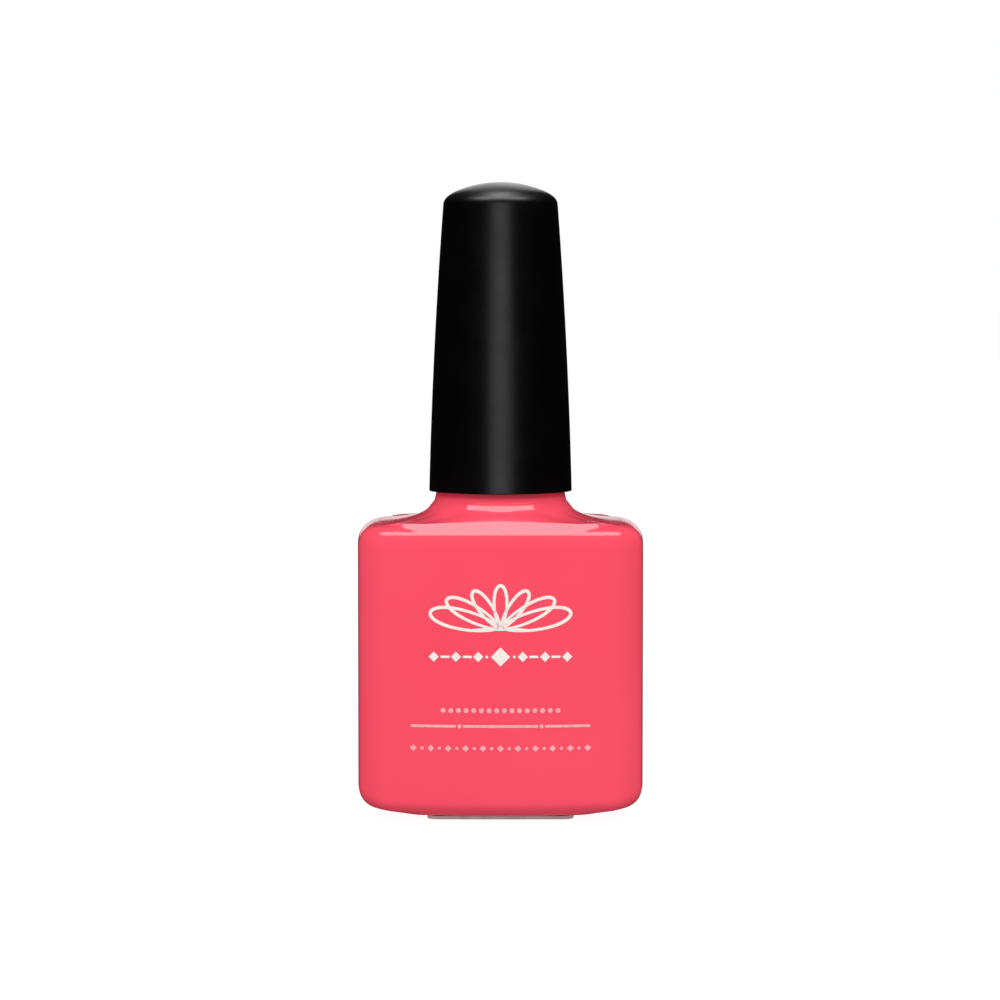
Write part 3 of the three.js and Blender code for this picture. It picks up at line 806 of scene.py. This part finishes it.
def bristles():
    draw = random.Random(7)
    tubes = []
    count = 260
    for i in range(count):
        share = math.sqrt((i + 0.5) / count)
        angle = i * math.pi * (3 - math.sqrt(5)) + draw.uniform(-0.1, 0.1)
        u, v = share * math.cos(angle), share * math.sin(angle)
        if abs(v) * 1.02 * FLATTEN < 0.1:
            top = 21.7
        else:
            top = 23.1
        tip = 8.08 + 1.5 * share**2.4 + draw.uniform(0, 0.35)
        thick = 0.062
        sway = (draw.uniform(-0.04, 0.04), draw.uniform(-0.04, 0.04))
        rings = []
        for t in steps(12):
            z = lerp(top, tip, t)
            reach = tuft_radius(z) - thick
            belly = math.sin(math.pi * t)
            x = u * reach + sway[0] * belly * (1 - share)
            y = (v * reach + sway[1] * belly * (1 - share)) * FLATTEN
            girth = thick * (1 if t < 0.85 else lerp(1, 0.25, (t - 0.85) / 0.15))
            rings.append([(x + girth * math.cos(a), y + girth * math.sin(a), z)
                          for a in (2 * math.pi * k / 6 for k in range(6))])
        centres = [tuple(sum(p[k] for p in ring) / 6 for k in range(3)) for ring in (rings[0], rings[-1])]
        tubes.append(loft(rings, *centres))
    piece("nylon_bristles", join(tubes), [NYLON], "brush", ["brush_bristles"], 60)
    rings = []
    for t in steps(40):
        z = lerp(8.15, 19.4, t)
        reach = tuft_radius(z) * 0.9
        ring = []
        for k in range(72):
            a = 2 * math.pi * k / 72
            lump = 1 + 0.035 * math.sin(7 * a + 3 * z) * math.sin(5 * a - 1.7 * z) - 0.05 * (k % 2) * 0
            end = math.sqrt(clamp01(t / 0.08)) * (1 - 0.35 * smooth((t - 0.85) / 0.15))
            ring.append((reach * lump * end * math.cos(a), reach * lump * end * FLATTEN * math.sin(a), z))
        rings.append(ring)
    shape = loft(rings[1:], (0, 0, 8.12), (0, 0, 19.45))
    piece("polish_on_bristles", shape, [POLISH_FILM], "brush", (), 60)


def staple():
    half, thick, low, high = 1.05, 0.3, 22.1, 23.4
    path = [(-half + 0.15, low + 0.2), (-half + 0.15, high - 0.35), (-half + 0.4, high - 0.15),
            (half - 0.4, high - 0.15), (half - 0.15, high - 0.35), (half - 0.15, low + 0.2)]
    path = rounded(path, 0.22, 4)
    rings = []
    for i, (x, z) in enumerate(path):
        a, b = path[max(0, i - 1)], path[min(len(path) - 1, i + 1)]
        along = Vector((b[0] - a[0], b[1] - a[1])).normalized()
        across = Vector((-along.y, along.x))
        rings.append([(x + across.x * 0.14 * math.cos(q), thick / 2 * 0.95 * math.sin(q), z + across.y * 0.14 * math.cos(q))
                      for q in (2 * math.pi * k / 12 for k in range(12))])
    centres = [tuple(sum(p[k] for p in ring) / 12 for k in range(3)) for ring in (rings[0], rings[-1])]
    piece("anchor_staple", loft(rings, *centres), [STEEL], "brush", ["brush_staple"], 60)


glass_bottle()
front_print()
polish_fill()
overcap()
inner_cap()
neck_seal()
brush_stem()
bristles()
staple()


# ---------- stage, light and camera ----------

def stage_sheet(name, shape, material):
    mesh = bpy.data.meshes.new(name)
    verts, faces = shape
    mesh.from_pydata([(x * MM, y * MM, z * MM) for x, y, z in verts], [], faces)
    mesh.materials.append(material)
    obj = bpy.data.objects.new(name, mesh)
    SCENE.collection.objects.link(obj)
    return obj


def pale_floor():
    """A lit table: pale, and bright enough to keep its own shadows faint."""
    s = Surface("pale_floor", Roughness=0.8, Emission_Color=(1, 1, 1, 1), Emission_Strength=0.93)
    s.link(s.ramp(s.noise(3, 2), [(0.3, srgb(100, 100, 100)), (0.7, srgb(106, 106, 106))]),
           s.shader.inputs["Base Color"])
    reach = 6000
    corners = [(-reach, -reach, -0.02), (reach, -reach, -0.02), (reach, reach, -0.02), (-reach, reach, -0.02)]
    floor = stage_sheet("floor", (corners, [(0, 1, 2, 3)]), s.material)
    floor.visible_glossy = False
    floor.visible_diffuse = False


def softbox(name, place, aim, size, radiance, diffuse=True, glossy=True, only=None):
    """Rectangular light of a given radiance, seen from the place it aims at."""
    data = bpy.data.lights.new(name, "AREA")
    data.shape = "RECTANGLE"
    data.size, data.size_y = size
    data.energy = radiance * math.pi * size[0] * size[1]
    obj = bpy.data.objects.new(name, data)
    obj.location = place
    obj.rotation_euler = (Vector(aim) - Vector(place)).to_track_quat("-Z", "Y").to_euler()
    obj.visible_diffuse, obj.visible_glossy = diffuse, glossy
    obj.visible_camera = False
    SCENE.collection.objects.link(obj)
    if only:
        lit = bpy.data.collections.new(name + "_receivers")
        for receiver in only:
            lit.objects.link(receiver)
        obj.light_linking.receiver_collection = lit
    return obj


def surroundings():
    """Even white room for soft light, dark to mirror reflections so that only the softboxes show in them."""
    world = bpy.data.worlds.new("studio")
    world.use_nodes = True
    SCENE.world = world
    tree = world.node_tree

    def background(level):
        made = tree.nodes.new("ShaderNodeBackground")
        made.inputs["Color"].default_value = (1, 1, 1, 1)
        made.inputs["Strength"].default_value = level
        return made.outputs["Background"]

    rays = tree.nodes.new("ShaderNodeLightPath")
    shader = background(ROOM_LIGHT)
    for kind, level in (("Is Glossy Ray", ROOM_IN_GLOSS), ("Is Camera Ray", 1.0)):
        mix = tree.nodes.new("ShaderNodeMixShader")
        tree.links.new(rays.outputs[kind], mix.inputs["Fac"])
        tree.links.new(shader, mix.inputs[1])
        tree.links.new(background(level), mix.inputs[2])
        shader = mix.outputs["Shader"]
    tree.links.new(shader, tree.nodes["World Output"].inputs["Surface"])


ROOM_LIGHT, ROOM_IN_GLOSS = 0.64, 0.006


def lights():
    over = 0.6
    softbox("overhead_bar", (0, 0.03, over), (0, 0.03, 0), (0.17, 0.5), 5.3, diffuse=False)
    softbox("overhead_crossbar", (0, -0.15, over), (0, -0.15, 0), (0.74, 0.3), 5.3, diffuse=False)
    for side in (-1, 0, 1):
        angle = math.radians(50 * side)
        place = (0.75 * math.sin(angle), -0.75 * math.cos(angle), 0.66)
        softbox(f"key_{side + 1}", place, (0, 0, 0.03), (0.35, 0.3), 6.4, glossy=False)
    for side in (-1, 1):
        softbox(f"back_fill_{side + 1}", (0.7 * side, 0.75, 0.4), (0, 0, 0.03), (0.4, 0.4), 2.4, glossy=False)
    cap = [bpy.data.objects["cap_sleeve"]]
    softbox("cap_strip", (0, -1.2, 0.16), (0, 0, 0.055), (0.66, 0.7), 1.65, diffuse=False, only=cap)
    softbox("cap_top_panel", (0, 1.0, 0.42), (0, 0, 0.075), (0.3, 0.6), 1.8, diffuse=False, only=cap)


def back_card():
    s = Surface("white_card", Base_Color=(0.9, 0.9, 0.9, 1), Roughness=0.8)
    wide, near, high = 160, 900, 95
    card = stage_sheet("back_card", ([(-wide, near, 0), (wide, near, 0), (wide, near, high), (-wide, near, high)],
                                     [(0, 1, 2, 3)]), s.material)
    card.visible_camera = False


def camera():
    data = bpy.data.cameras.new("camera")
    data.lens = 135.8
    data.shift_x, data.shift_y = -0.0005, -0.0032
    obj = bpy.data.objects.new("camera", data)
    obj.location = (0, -0.45, 0.065)
    aim = Vector((0, 0, (CAD_LOW.z + CAD_HIGH.z) / 2))
    obj.rotation_euler = (aim - obj.location).to_track_quat("-Z", "Y").to_euler()
    SCENE.collection.objects.link(obj)
    SCENE.camera = obj


pale_floor()
surroundings()
back_card()
lights()
camera()
SCENE.view_settings.view_transform = "Standard"
